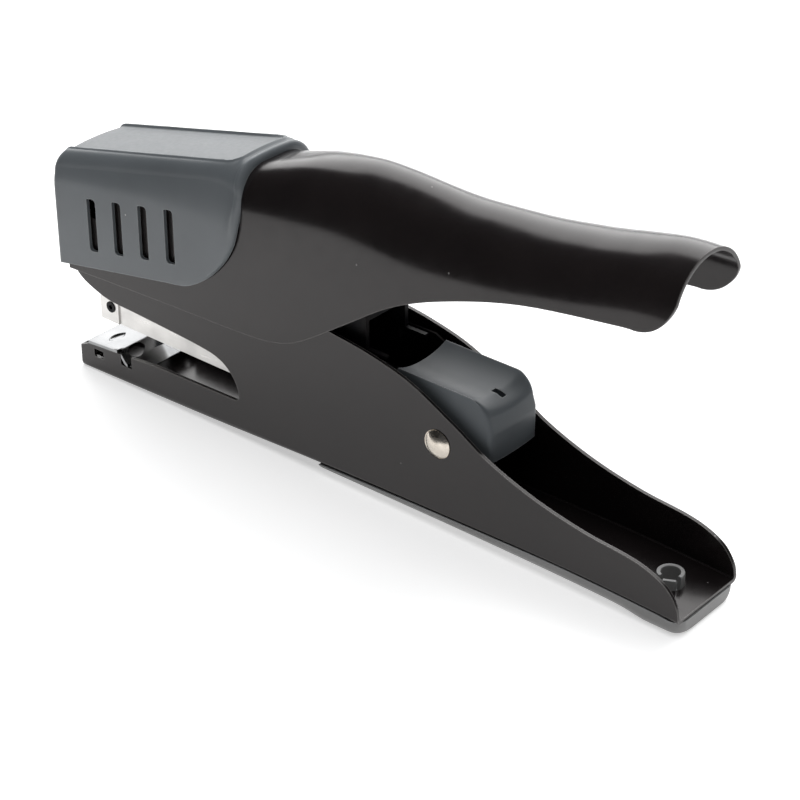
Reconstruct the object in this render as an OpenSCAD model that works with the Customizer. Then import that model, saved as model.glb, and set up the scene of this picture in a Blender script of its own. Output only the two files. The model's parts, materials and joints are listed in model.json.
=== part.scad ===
// Plier-type hand stapler: a pressed steel C-frame whose lower jaw carries the anvil, an upper
// handle that swings on a pin in the head, a driver arm and a staple magazine that share two
// stub rivets, and a pusher that is drawn out of the magazine's rear.
// X runs from the jaw to the handle ends, Y across, Z up. Inside place() X is 0 at the jaw's tip.

/* [Frame] */
// Outer width of the frame channel
frame_w = 22.6; // [22.4:0.1:22.8]
// Thickness of the frame sheet
frame_t = 0.9; // [0.8:0.05:0.95]
// Radius of the jaw's front corners in plan
jaw_corner_r = 1; // [1:0.5:4]

/* [Handle] */
// Outer width of the upper handle
handle_w = 25; // [24.8:0.1:25.2]
// Thickness of the handle sheet
handle_t = 0.9; // [0.7:0.05:0.9]

/* [Head cap] */
// Width of the plastic cap at its lower edge
cap_w = 28; // [27.8:0.1:29]
// Wall thickness of the cap
cap_t = 1.1; // [0.9:0.1:1.2]
// Depth of the panel sunk in the cap's top
panel_depth = 0.4; // [0.2:0.1:0.6]
// Number of vent slots on each side
slot_count = 4; // [2:1:4]
// Length of a vent slot
slot_len = 14.3; // [8:0.1:15]
// Width of a vent slot
slot_w = 3.1; // [2:0.1:4]

/* [Magazine] */
// Outer width of the magazine channel
mag_w = 15; // [14.8:0.1:15.2]
// Thickness of the magazine sheet
mag_t = 0.8; // [0.6:0.05:0.9]
// Height of the magazine's underside above the base line at rest
mag_z = 14.5; // [14.4:0.05:14.8]
// Width over a staple's legs
staple_w = 12.9; // [12.7:0.05:13]
// Length of a staple's legs
staple_leg = 6; // [5.8:0.1:6]
// Length of the stick of staples
stick_len = 50; // [10:1:52]

/* [Pusher] */
// Width of the pusher cap
pusher_w = 17.2; // [16:0.1:17.2]
// Depth of the dish in the pusher cap's top
dish_depth = 1.7; // [0.8:0.1:2.4]

/* [Pivots] */
// Radius of the handle's pivot pin
pin_r = 2.5; // [2:0.1:3]
// Radius of the stub rivets' shanks
rivet_r = 2; // [1.6:0.1:2.4]
// Radius of the stub rivets' domed heads
dome_r = 3.6; // [3:0.1:4]
// Height of the domed heads
dome_h = 1.5; // [1:0.1:1.7]
// Radial clearance of a turning fit
fit = 0.05; // [0.02:0.01:0.08]

/* [Hidden] */
$fn = 48;
eps = 0.01;
long = 400;

// Middle of the overall length, where the origin stands
mid_x = 89;
// The handle's pivot and the rear pivot that the arm and the magazine share
pin_x = 8;
pin_z = 48;
rear_x = 116.5;
rear_z = 23.1;

frame_hw = frame_w / 2;
frame_in = frame_hw - frame_t;
handle_hw = handle_w / 2;
handle_in = handle_hw - handle_t;
cap_hw = cap_w / 2;
mag_hw = mag_w / 2;
mag_in = mag_hw - mag_t;
mag_top = mag_z + 8.5;
rear_end = 183;

// Ears on the rear rivets, from the pusher cap outwards: the arm's, then the magazine's brackets
ear_t = 0.65;
ear_r = 5;
arm_ear = frame_in - 2 * ear_t - 0.2;
bracket_ear = frame_in - ear_t - 0.1;

// Driver arm
arm_t = 1.2;
arm_hw = mag_hw;
arm_front = 4.4;
web_top = 45.2;
web_z = web_top - arm_t;
blade_t = 0.6;
blade_low = 22.8;
blade_rivet_y = 3.5;
blade_rivet_z = 38;
blade_rivet_r = 1;

// Plates and rivets of the magazine: the nose in front, the brackets behind
nose_x = 2.6;
nose_t = 0.8;
wing_t = 0.4;
nose_rivet_x = 6.4;
nose_rivet_z = 18.7;
nose_rivet_r = 1.1;
bracket_rivet_x = [80, 84];
bracket_rivet_z = 19.5;
bracket_rivet_r = 1;

// Staple rail and what rides on it
wire = 0.5;
rail_hw = staple_w / 2 - wire - 0.1;
rail_t = 0.8;
rail_z = mag_z + mag_t;
rail_top = rail_z + staple_leg;
rail_x0 = 5.8;
rail_x1 = 100;
rail_rivet_x = [8.6, 97];
rail_rivet_r = 1.2;
stick_x1 = rail_x0 + stick_len;
rod_z = 18.1;
rod_r = 1;
boss_r = 1.9;
follower_x0 = stick_x1 + 0.2;
follower_len = 8;
spring_x = 60;
spring_seat = mag_top + mag_t;

// Pusher cap
push_x0 = 102.5;
push_x1 = 130;
push_in = 104.5;
push_low = 17;
push_rear_low = 21.5;
push_top = 36.5;
push_hw = pusher_w / 2;

// Snap posts of the grip cover, and the play round them
post_r = 3.2;
post_x = [98, 173.2];
post_play = 0.1;

// Sheet of the anvil plate and of the lift spring
anvil_t = 0.8;
leaf_t = 0.5;
leaf_w = 12;

// ---- Curves -------------------------------------------------------------------------------

// One span of a smooth curve through four neighbouring points
function span(a, b, c, d, t) =
    0.5 * (2 * b + (c - a) * t + (2 * a - 5 * b + 4 * c - d) * t * t + (3 * b - a - 3 * c + d) * t * t * t);

// A smooth curve through all the points of p, with n steps in each span
function smooth(p, n = 5) = concat(
    [for (i = [0:len(p) - 2], k = [0:n - 1])
        span(p[max(i - 1, 0)], p[i], p[i + 1], p[min(i + 2, len(p) - 1)], k / n)],
    [p[len(p) - 1]]
);

// Points of an arc
function arc(c, r, a0, a1, n = 8) = [
    for (i = [0:n]) let (a = a0 + (a1 - a0) * i / n) c + r * [cos(a), sin(a)]
];

// Unit normal at point i of a path, on its right-hand side
function side_of(p, i) = let (d = p[min(i + 1, len(p) - 1)] - p[max(i - 1, 0)]) [d[1], -d[0]] / norm(d);

// A path given a thickness t on its right-hand side
function strip(p, t) = concat(p, [for (i = [len(p) - 1:-1:0]) p[i] + t * side_of(p, i)]);

// ---- Shared shapes ------------------------------------------------------------------------

// Moves the model's own X to the frame in which the origin is at mid length
module place() {
    translate([-mid_x, 0, 0]) children();
}

// Extrudes a side view across the part
module across(w) {
    rotate([90, 0, 0]) linear_extrude(w, center = true) children();
}

// A cylinder across the part, from y0 to y1
module cross_rod(x, z, r, y0, y1) {
    translate([x, y0, z]) rotate([-90, 0, 0]) cylinder(r = r, h = y1 - y0);
}

// A cylinder across the part on one side of its middle. side is -1 or 1.
module side_rod(side, x, z, r, y0, y1) {
    cross_rod(x, z, r, min(side * y0, side * y1), max(side * y0, side * y1));
}

// A cylinder along the part, from x0 to x1
module long_rod(x0, x1, y, z, r) {
    translate([x0, y, z]) rotate([0, 90, 0]) cylinder(r = r, h = x1 - x0);
}

// A block from one corner to the other
module block(low, high) {
    translate(low) cube(high - low);
}

// Plan view of a channel with rounded front corners and a slightly bowed rear end
module channel_plan(x0, x1, hw, r) {
    bow = 60;
    intersection() {
        union() {
            translate([x0 + r, -hw]) square([x1 - x0 - r, 2 * hw]);
            translate([x0, r - hw]) square([2 * r, 2 * (hw - r)]);
            for (s = [-1, 1]) translate([x0 + r, s * (hw - r)]) circle(r);
        }
        union() {
            translate([x1 - bow, 0]) circle(bow, $fn = 180);
            translate([x0 - 1, -hw]) square([x1 - x0 - 20, 2 * hw]);
        }
    }
}

// Half outline of a hood's section: straight side, round shoulder, flat crown. f goes from 0
// at the lower edge to 1 at the shoulder's start, then to 2 at the crown's middle.
function hood_half(hw, r, zt, zl, n) =
    let (zc = zt - r, w = zc - zl, a0 = w < 0 ? asin(min(-w / r, 0.98)) : 0, step = w < 0 ? 0.12 : 0)
    concat(
        w < 0 ? [[hw - r + r * cos(a0), zc + r * sin(a0)]] : [[hw, zl]],
        [for (i = [0:n])
            let (a = a0 + (90 - a0) * (step + (1 - step) * i / n))
            [hw - r + r * cos(a), zc + r * sin(a)]]
    );

// The whole section, from the -Y lower edge over the crown to the +Y lower edge
function hood_section(hw, r, zt, zl, n) =
    let (h = hood_half(hw, r, zt, zl, n), m = len(h))
    concat([for (q = h) [-q[0], q[1]]], [for (i = [m - 1:-1:0]) h[i]]);

// Solid through equal rings of points. Point j of a ring lies opposite point c - 1 - j.
module loft(rings) {
    c = len(rings[0]);
    last = (len(rings) - 1) * c;
    polyhedron(
        points = [for (ring = rings, q = ring) q],
        faces = concat(
            [for (j = [0:c / 2 - 2]) [c - 1 - j, c - 2 - j, j + 1, j]],
            [for (j = [0:c / 2 - 2]) [last + j, last + j + 1, last + c - 2 - j, last + c - 1 - j]],
            [for (i = [0:len(rings) - 2], j = [0:c - 1])
                let (a = i * c + j, b = i * c + (j + 1) % c) [b, b + c, a + c, a]]
        )
    );
}

// A solid hood through stations xs. Each table holds [x, value] pairs.
module solid_hood(xs, widths, radii, tops, low, n) {
    loft([for (x = xs)
        let (ring = hood_section(lookup(x, widths), lookup(x, radii), lookup(x, tops), low, n))
        [for (q = ring) [x, q[0], q[1]]]]);
}

// A hood of sheet t thick, open below and at both ends
module sheet_hood(xs, hw, radii, tops, lows, t, n) {
    loft([for (x = xs)
        let (
            r = lookup(x, radii), zt = lookup(x, tops), zl = lookup(x, lows),
            outer = hood_section(hw, r, zt, zl, n),
            inner = hood_section(hw - t, r - t, zt - t, zl, n)
        )
        concat(
            [for (q = outer) [x, q[0], q[1]]],
            [for (i = [len(inner) - 1:-1:0]) [x, inner[i][0], inner[i][1]]]
        )]);
}

// ---- Frame --------------------------------------------------------------------------------

frame_bottom = [[0, 0], [44, 1.4], [82, 3.1], [127, 4.3], [156, 4.6], [rear_end, 3.8]];
jaw_front = [[-3, 5.6], [-2.8, 1.7]];
jaw_top = [[53.2, 10.4], [25, 9.7], [19.2, 9.1], [0.5, 7.5], [-2.7, 6.1]];
throat = [
    [-2.5, 29], [0, 26.6], [4, 24.7], [10, 23.1], [20, 22.6], [40, 21.4], [48, 20], [52.4, 16.6], [54.1, 13]
];
frame_back = [
    [rear_end, 5.2], [182.3, 8.2], [179.6, 11.8], [175, 14.2], [169, 15.6], [157, 16.8], [143.5, 19.6],
    [131, 24], [120.8, 29.6], [108, 35.8], [96, 38.8], [84, 40.4], [60, 43.4], [40, 46], [22, 50.5]
];

// Side view of the frame's walls
module frame_side() {
    polygon(concat(
        smooth(frame_bottom), smooth(frame_back), arc([pin_x, pin_z], 7, 60, 180),
        [[-2.5, 41]], smooth(throat), jaw_top, jaw_front
    ));
}

// Side view of the space above the channel's floor
module above_floor() {
    floor_line = smooth([for (q = frame_bottom) q + [0, frame_t]]);
    polygon(concat(floor_line, [[long, 4], [long, long], [-long, long], [-long, frame_t]]));
}

// Pressed channel: lower jaw, head and lower handle in one sheet
module frame_channel() {
    color([0.16, 0.16, 0.17]) place() difference() {
        intersection() {
            across(frame_w) frame_side();
            translate([0, 0, -1]) linear_extrude(80) channel_plan(-3, rear_end, frame_hw, jaw_corner_r);
        }
        intersection() {
            across(2 * frame_in) above_floor();
            translate([0, 0, -1]) linear_extrude(80)
                channel_plan(frame_t - 3, rear_end + 5, frame_in, jaw_corner_r - frame_t);
        }
        block([-4, -frame_in, 15], [2, frame_in, 70]);
        cross_rod(pin_x, pin_z, pin_r, -20, 20);
        cross_rod(rear_x, rear_z, rivet_r, -20, 20);
        for (x = post_x) translate([x, 0, -1]) cylinder(r = post_r + post_play, h = 12);
        // Notches that the anvil plate's tabs drop into, and a sight hole under it
        block([12.4, -20, 5.4], [16.4, 20, 12]);
        block([2.6, -20, 4.6], [6, 20, 6.8]);
    }
}

// Moulded cover under the lower handle, clipped through the floor by split posts
module grip_cover() {
    top = [for (q = smooth(frame_bottom)) if (q[0] > 80) q - [0, eps * 3]];
    under = smooth([
        [185, 4.6], [184.2, 1.2], [181.5, 0], [174, 0], [167, 1], [158, 1.4], [127, 1.9], [104, 2], [81, 2.1]
    ]);
    color([0.36, 0.38, 0.4]) place() {
        difference() {
            union() {
                intersection() {
                    across(frame_w) polygon(concat(top, [[rear_end, 5.2]], under));
                    linear_extrude(20) channel_plan(70, 183.3, frame_hw, 2);
                }
                for (x = post_x) translate([x, 0, 2.6]) cylinder(r = post_r, h = 5.2);
            }
            for (x = post_x) {
                translate([x, 0, 3.4]) cylinder(r = 1.9, h = 12);
                block([x - 0.5, -5, 5.6], [x + 0.5, 5, 12]);
            }
        }
    }
}

// A slot through the anvil, from above, that lies across the part
module anvil_slot(x, y, r, len) {
    block([x - r, y - len / 2 + r, -1], [x + r, y + len / 2 - r, 20]);
    for (s = [-1, 1]) translate([x, y + s * (len / 2 - r), -1]) cylinder(r = r, h = 21);
}

// Chromed plate that clenches the staples. It bends down behind, where tabs hold it in the walls.
module anvil_plate() {
    pocket_r = 1.15;
    pocket_len = 5.8;
    path = [[0.6, 8.4], [12.2, 9.3], [14.3, 6.7], [18, 4.7]];
    color([0.85, 0.86, 0.87]) place() difference() {
        intersection() {
            across(frame_w) polygon(strip(path, anvil_t));
            union() {
                block([0, -frame_hw, 0], [14.8, frame_hw, 20]);
                block([0, 0.2 - frame_in, 0], [30, frame_in - 0.2, 20]);
            }
        }
        for (s = [-1, 1]) {
            // Crimp pocket for one leg
            side_rod(s, 5.4, 9.3, pocket_r, 2.7, 2.7 + pocket_len);
            anvil_slot(13.2, s * 6.4, 0.8, 6);
        }
    }
}

// Two short domed rivets, one in each wall, that leave the magazine's inside free
module pivot_rivets() {
    inner = push_hw + 0.18;
    ball = (dome_r * dome_r + dome_h * dome_h) / (2 * dome_h);
    color([0.8, 0.79, 0.77]) place() for (s = [-1, 1])
        translate([rear_x, 0, rear_z]) rotate([-90 * s, 0, 0]) {
            translate([0, 0, inner]) cylinder(r = rivet_r, h = frame_hw - inner + eps);
            intersection() {
                translate([0, 0, frame_hw + dome_h - ball]) sphere(ball);
                translate([0, 0, frame_hw]) cylinder(r = dome_r + 1, h = 5);
            }
        }
}

// Pin that the upper handle turns on, riveted flush
module handle_pin() {
    color([0.7, 0.7, 0.7]) place() cross_rod(pin_x, pin_z, pin_r, -handle_hw, handle_hw);
}

// Tube that keeps the frame's walls apart
module pin_bush() {
    color([0.75, 0.74, 0.7]) place() difference() {
        cross_rod(pin_x, pin_z, pin_r + 1.1, -frame_in, frame_in);
        cross_rod(pin_x, pin_z, pin_r, -20, 20);
    }
}

// Leaf spring that lifts the magazine off the anvil, threaded over the cover's front post
module lift_spring() {
    path = smooth([
        [104, 4.75], [98, 4.6], [90, 4.36], [84, 4.7], [76, 7.2], [68, 11.2], [62, 13.6], [59, 13.9],
        [56, 13.6]
    ], 4);
    color([0.6, 0.61, 0.64]) place() difference() {
        across(leaf_w) polygon(strip(path, leaf_t));
        translate([post_x[0], 0, 0]) cylinder(r = post_r + 2 * post_play, h = 10);
    }
}

// ---- Upper handle -------------------------------------------------------------------------

handle_tops = smooth([
    [-3, 57.1], [0, 59.1], [20, 64], [40, 68.6], [58, 72.8], [66, 75.3], [75, 78], [86, 80], [96, 80.2],
    [113, 79.4], [124, 79.9], [137, 81], [151, 83.2], [160, 85.1], [169, 86.8], [178, 87.2]
]);
handle_lows = smooth([
    [-3, 28.6], [30, 30], [57, 30.9], [68, 32.2], [76.4, 35.6], [90, 44.7], [104, 54], [119, 60.6],
    [139.4, 66.7], [163.4, 70.4], [169, 70.9], [172, 71.9], [174.2, 73.5], [175.9, 75.6], [177, 77.8],
    [177.5, 79.8]
]);
handle_rs = [[-3, 5], [45, 6], [62, 10], [84, 12.4], [181, 12.4]];
handle_xs = [
    -3, 10, 30, 50, 58, 63, 68, 73, 78, 84, 90, 97, 104, 112, 120, 129, 138, 147, 156, 163, 168, 171, 173,
    174.6, 175.9, 176.8, 177.4
];

// Steel shell of the upper handle, open below and behind
module handle_shell() {
    color([0.15, 0.15, 0.16]) place() difference() {
        sheet_hood(handle_xs, handle_hw, handle_rs, handle_tops, handle_lows, handle_t, 9);
        cross_rod(pin_x, pin_z, pin_r + fit, -20, 20);
    }
}

cap_tops = [[-5.3, 60.6], [60, 75.4]];
cap_narrow = [[-5.5, 3.2], [-5, 1.6], [-4.4, 0.8], [-3.4, 0.2], [-2, 0], [80, 0]];

panel_hw = 8.8;
panel_end = 54.5;

// Height of the cap's roof line at x
function cap_z(x) = cap_tops[0][1] + (x - cap_tops[0][0]) * (cap_tops[1][1] - cap_tops[0][1])
    / (cap_tops[1][0] - cap_tops[0][0]);

// Half-widths of the cap along its length, moved by dx and thinner by t
function cap_widths(dx, t) = [for (q = cap_narrow) [q[0] + dx, cap_hw - q[1] - t]];

// Side view of the cap
module cap_side() {
    polygon(concat(
        [[-5.3, 30.4]],
        smooth([[-5, 53.8], [-4.2, 57.6], [-2.2, 60.4], [1.5, 62.9]], 3),
        [[1.5, 90], [57.4, 90], [57.9, 74.9]],
        smooth([
            [58.7, 70.3], [58, 64.4], [54.4, 53.9], [47.7, 45.7], [39.6, 39.4], [33, 37.5], [16, 34.2]
        ], 3)
    ));
}

// A vent slot with two full corners and two tight ones
module vent(x, z) {
    slant = 0.205;
    translate([x, 0, z + slant * x]) across(cap_w + 10) {
        translate([0, 1]) square([slot_w, slot_len - 2]);
        translate([1, 0]) square([slot_w - 1, slot_len - 1]);
        translate([0, 1]) square([slot_w - 1, slot_len - 1]);
        translate([1, 1]) circle(1);
        translate([slot_w - 1, slot_len - 1]) circle(1);
    }
}

// Moulded cap over the head, with vent slots in both sides and a panel sunk in its top
module head_cap() {
    outer_xs = [-5.5, -5, -4.4, -3.4, -2, 10, 30, 45, 61];
    inner_xs = [-4, -3.4, -2.6, -1.5, 0.5, 12, 30, 45, 62];
    roof = [for (q = [[12, lookup(12, cap_tops)], cap_tops[1]]) q - [0, cap_t]];
    sunk = [for (x = [-8, panel_end]) [x, cap_z(x) - panel_depth]];
    color([0.37, 0.4, 0.42]) place() difference() {
        intersection() {
            solid_hood(outer_xs, cap_widths(0, 0), [[-6, 4.4], [80, 4.8]], cap_tops, 20, 7);
            across(cap_w + 2) cap_side();
        }
        solid_hood(inner_xs, cap_widths(0.6, cap_t), [[-6, 3.3], [80, 3.7]],
            concat([[-4, 56], [-2.6, 58.4], [0.5, 60.6]], roof), 19, 7);
        across(2 * panel_hw) polygon(concat(sunk, [[panel_end, 90], [-8, 90]]));
        for (i = [0:slot_count - 1]) vent(6.8 + 9.05 * i, 35.5);
    }
}

// Block that presses the driver arm down
module presser_saddle() {
    pad_r = 4;
    color([0.3, 0.3, 0.31]) place() {
        across(2 * handle_in) polygon([[38, 58], [50, 58], [50, 61], [38, 61]]);
        across(12) union() {
            polygon([[44 - pad_r, web_top + pad_r], [44 + pad_r, web_top + pad_r], [48, 66], [40, 64]]);
            translate([44, web_top + pad_r + 0.1]) circle(pad_r);
        }
    }
}

// ---- Driver arm ---------------------------------------------------------------------------

// Side view of the arm's flanges
module arm_flange() {
    polygon([[arm_front, 35], [92, 36.6], [98, 36.6], [98, 37.2], [92, 37.2], [92, web_top], [28, web_top],
        [16, 41], [arm_front, 41]]);
}

// Side view of the arm's ears
module arm_ear_side() {
    polygon([[82, 36.8], [99, 36.8], [rear_x + 3, rear_z + 4], [rear_x - 3, rear_z - 4], [82, 31.5]]);
    translate([rear_x, rear_z]) circle(ear_r);
}

// Bores for the blade's rivets
module blade_rivet_bores() {
    for (s = [-1, 1]) long_rod(arm_front - 1, arm_front + 3, s * blade_rivet_y, blade_rivet_z, blade_rivet_r);
}

// Inverted channel that carries the blade and turns on the rear rivets
module driver_arm() {
    color([0.2, 0.2, 0.21]) place() {
        difference() {
            across(2 * arm_hw) arm_flange();
            across(2 * (arm_hw - arm_t)) difference() {
                arm_flange();
                polygon([[arm_front - 1, 35], [arm_front + arm_t, 35], [arm_front + arm_t, 41 - arm_t],
                    [16.3, 41 - arm_t], [28.3, web_z], [93, web_z], [93, 60], [arm_front - 1, 60]]);
            }
            blade_rivet_bores();
        }
        for (s = [-1, 1]) difference() {
            union() {
                translate([0, s * (arm_ear + ear_t / 2), 0]) across(ear_t) arm_ear_side();
                translate([0, s * (arm_hw + arm_ear) / 2, 0]) across(arm_ear + ear_t - arm_hw + arm_t)
                    polygon([[82, 32.5], [90, 33.4], [90, 36.8], [82, 36.8]]);
            }
            cross_rod(rear_x, rear_z, rivet_r + fit, -20, 20);
        }
    }
}

// Flat blade that drives the first staple
module driver_blade() {
    color([0.72, 0.73, 0.75]) place() difference() {
        block([arm_front - blade_t, -staple_w / 2 + 0.2, blade_low], [arm_front, staple_w / 2 - 0.2, 41]);
        blade_rivet_bores();
    }
}

// Rivets that hold the blade to the arm
module blade_rivets() {
    head_r = 1.6;
    head_h = 0.4;
    front = arm_front - blade_t;
    back = arm_front + arm_t;
    color([0.8, 0.8, 0.8]) place() for (s = [-1, 1]) {
        long_rod(front, back, s * blade_rivet_y, blade_rivet_z, blade_rivet_r);
        long_rod(front - head_h, front, s * blade_rivet_y, blade_rivet_z, head_r);
        long_rod(back, back + head_h, s * blade_rivet_y, blade_rivet_z, head_r);
    }
}

// A coil spring's envelope: a tube with a ridge for each turn
module spring_body(r, wire_r, len, turns) {
    pitch = len / turns;
    rotate_extrude() polygon(concat(
        [[r - 2 * wire_r, 0]],
        [for (i = [0:2 * turns]) [r - (i % 2 == 0 ? wire_r * 0.7 : 0), i * pitch / 2]],
        [[r - 2 * wire_r, len]]
    ));
}

// Coil spring between the magazine and the arm
module arm_spring() {
    color([0.65, 0.66, 0.68]) place() translate([spring_x, 0, spring_seat])
        spring_body(4.4, 0.45, web_z - spring_seat, 8);
}

// ---- Magazine -----------------------------------------------------------------------------

// Channel that holds the staples
module magazine_channel() {
    color([0.78, 0.79, 0.8]) place() difference() {
        block([nose_x + nose_t, -mag_hw, mag_z], [rail_x1, mag_hw, mag_top]);
        block([0, -mag_in, rail_z], [long, mag_in, long]);
        // Slot that the staple leaves by
        block([0, -mag_in, 0], [rail_x0 - 0.1, mag_in, long]);
        cross_rod(nose_rivet_x, nose_rivet_z, nose_rivet_r, -20, 20);
        for (x = rail_rivet_x) translate([x, 0, 0]) cylinder(r = rail_rivet_r, h = 30);
        for (x = bracket_rivet_x) cross_rod(x, bracket_rivet_z, bracket_rivet_r, -20, 20);
    }
}

// Front plate of the magazine, which guides the blade, with a wing on each side
module magazine_nose() {
    wing = [[nose_x, mag_z], [9, mag_z], [9, 21], [nose_x, 21]];
    color([0.74, 0.75, 0.76]) place() difference() {
        union() {
            block([nose_x, -mag_hw, mag_z], [nose_x + nose_t, mag_hw, 22]);
            for (s = [-1, 1]) translate([0, s * (mag_hw + wing_t / 2), 0]) across(wing_t) polygon(wing);
        }
        cross_rod(nose_rivet_x, nose_rivet_z, nose_rivet_r, -20, 20);
    }
}

// Hollow rivets that hold the front plate
module nose_rivets() {
    flange_r = 1.5;
    flange_y = mag_hw + wing_t;
    color([0.5, 0.5, 0.5]) place() for (s = [-1, 1]) difference() {
        union() {
            side_rod(s, nose_rivet_x, nose_rivet_z, nose_rivet_r, mag_in, flange_y);
            side_rod(s, nose_rivet_x, nose_rivet_z, flange_r, flange_y, flange_y + 0.2);
        }
        cross_rod(nose_rivet_x, nose_rivet_z, 0.6, -20, 20);
    }
}

// Lid over the staples, with a stud that keeps the arm's spring in place
module magazine_cover() {
    color([0.7, 0.71, 0.72]) place() {
        block([7, -mag_hw, mag_top], [rail_x1, mag_hw, spring_seat]);
        translate([spring_x, 0, mag_top]) cylinder(r = 3.2, h = 3);
    }
}

// Rivets of the lid, in line along its middle
module cover_rivets() {
    color([0.8, 0.8, 0.8]) place() for (x = [14, 92]) translate([x, 0, spring_seat]) intersection() {
        translate([0, 0, -1.2]) sphere(2);
        cylinder(r = 3, h = 3);
    }
}

// Plate that joins the magazine to a rear rivet. side is -1 or 1.
module bracket(side) {
    difference() {
        union() {
            translate([0, side * (bracket_ear + ear_t / 2), 0]) across(ear_t) union() {
                polygon([
                    [77, 16.4], [88, 15.2], [rear_x, rear_z - ear_r], [rear_x, rear_z + ear_r], [88, 23],
                    [77, 22.6]
                ]);
                translate([rear_x, rear_z]) circle(ear_r);
            }
            translate([0, side * (mag_hw + bracket_ear + ear_t) / 2, 0]) across(bracket_ear + ear_t - mag_hw)
                polygon([[77, 16.4], [87, 16.4], [87, 22.6], [77, 22.6]]);
        }
        cross_rod(rear_x, rear_z, rivet_r + fit, -20, 20);
        for (x = bracket_rivet_x) cross_rod(x, bracket_rivet_z, bracket_rivet_r, -20, 20);
    }
}

module left_bracket() {
    color([0.7, 0.71, 0.72]) place() bracket(-1);
}

module right_bracket() {
    color([0.7, 0.71, 0.72]) place() bracket(1);
}

// Rivets through the brackets and the magazine's walls
module bracket_rivets() {
    color([0.8, 0.8, 0.8]) place() for (s = [-1, 1], x = bracket_rivet_x)
        side_rod(s, x, bracket_rivet_z, bracket_rivet_r, mag_in, bracket_ear + ear_t);
}

// Inverted channel that the staples ride on, slotted for the follower's tang
module staple_rail() {
    color([0.76, 0.77, 0.78]) place() difference() {
        block([rail_x0, -rail_hw, rail_z], [rail_x1, rail_hw, rail_top]);
        block([10.6, -rail_hw + rail_t, 0], [95, rail_hw - rail_t, rail_top - rail_t]);
        block([0, -rail_hw + rail_t, rail_z + rail_t], [long, rail_hw - rail_t, rail_top - rail_t]);
        block([stick_x1, -1.2, rail_z + rail_t], [long, 1.2, 30]);
        for (x = rail_rivet_x) translate([x, 0, 0]) cylinder(r = rail_rivet_r, h = 18);
    }
}

// Flush rivets that hold the rail to the magazine's floor
module rail_rivets() {
    color([0.8, 0.8, 0.8]) place() for (x = rail_rivet_x) translate([x, 0, mag_z])
        cylinder(r = rail_rivet_r, h = mag_t + rail_t);
}

// Stick of glued staples astride the rail
module staple_stick() {
    color([0.83, 0.83, 0.82]) place() difference() {
        block([rail_x0, -staple_w / 2, rail_z + 0.1], [stick_x1, staple_w / 2, rail_top + wire + 0.1]);
        block([0, -staple_w / 2 + wire, 0], [long, staple_w / 2 - wire, rail_top + 0.1]);
    }
}

// ---- Pusher -------------------------------------------------------------------------------

// Side view of the pusher cap, lower in front where it holds the rod
module pusher_side() {
    polygon(concat(
        [[push_x0, push_low], [push_x0, push_top]], arc([124, push_top - 4], 4, 90, 10),
        [[push_x1, push_rear_low], [108, push_rear_low], [106, push_low]]
    ));
}

// Moulded thumb piece at the rod's rear end
module pusher_cap() {
    dish = (push_hw * push_hw * 0.7 + dish_depth * dish_depth) / (2 * dish_depth);
    color([0.37, 0.4, 0.42]) place() difference() {
        across(pusher_w) pusher_side();
        long_rod(0, 125, 0, push_top + dish - dish_depth, dish);
        across(pusher_w - 3) polygon([
            [push_in, 20], [push_in, 33], [121, 33], [124, 30], [125.5, 0], [push_in, 0]
        ]);
        block([123.2, -0.8, 28], [126.4, 0.8, 60]);
        long_rod(push_x0 - 1, push_in + 1, 0, rod_z, rod_r);
    }
}

// Rod that the spring is threaded on
module pusher_rod() {
    color([0.72, 0.73, 0.75]) place() long_rod(stick_x1 + 1, push_in + 1.5, 0, rod_z, rod_r);
}

// Collar that keeps the rod in the cap
module rod_collar() {
    color([0.8, 0.8, 0.8]) place() difference() {
        long_rod(push_in, push_in + 1.2, 0, rod_z, boss_r);
        long_rod(push_in - 1, push_in + 3, 0, rod_z, rod_r);
    }
}

// Saddle that pushes the staples, with a tang down to the rod
module pusher_follower() {
    x0 = follower_x0;
    x1 = x0 + follower_len;
    color([0.7, 0.71, 0.72]) place() difference() {
        union() {
            difference() {
                block([x0, -staple_w / 2, rail_z + 0.3], [x1, staple_w / 2, mag_top - 0.2]);
                block([0, -rail_hw - 0.1, 0], [long, rail_hw + 0.1, rail_top + 0.1]);
            }
            block([x0 + 0.8, -0.9, rod_z + rod_r], [x1, 0.9, rail_top + 1]);
            long_rod(x0 + 0.8, x1, 0, rod_z, boss_r);
        }
        long_rod(0, long, 0, rod_z, rod_r);
    }
}

// Coil spring on the rod, between the follower and the cap
module pusher_spring() {
    x0 = follower_x0 + follower_len;
    color([0.65, 0.66, 0.68]) place() translate([x0, 0, rod_z]) rotate([0, 90, 0])
        spring_body(boss_r, 0.35, push_x0 - x0, 18);
}

frame_channel();
grip_cover();
anvil_plate();
pivot_rivets();
handle_pin();
pin_bush();
lift_spring();
handle_shell();
head_cap();
presser_saddle();
driver_arm();
driver_blade();
blade_rivets();
arm_spring();
magazine_channel();
magazine_nose();
nose_rivets();
magazine_cover();
cover_rivets();
left_bracket();
right_bracket();
bracket_rivets();
staple_rail();
rail_rivets();
staple_stick();
pusher_cap();
pusher_rod();
rod_collar();
pusher_follower();
pusher_spring();
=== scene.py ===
# Plier-type hand stapler: detailed meshes, materials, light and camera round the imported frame.
import json
import math

import bmesh
import bpy
from mathutils import Matrix, Vector


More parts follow.
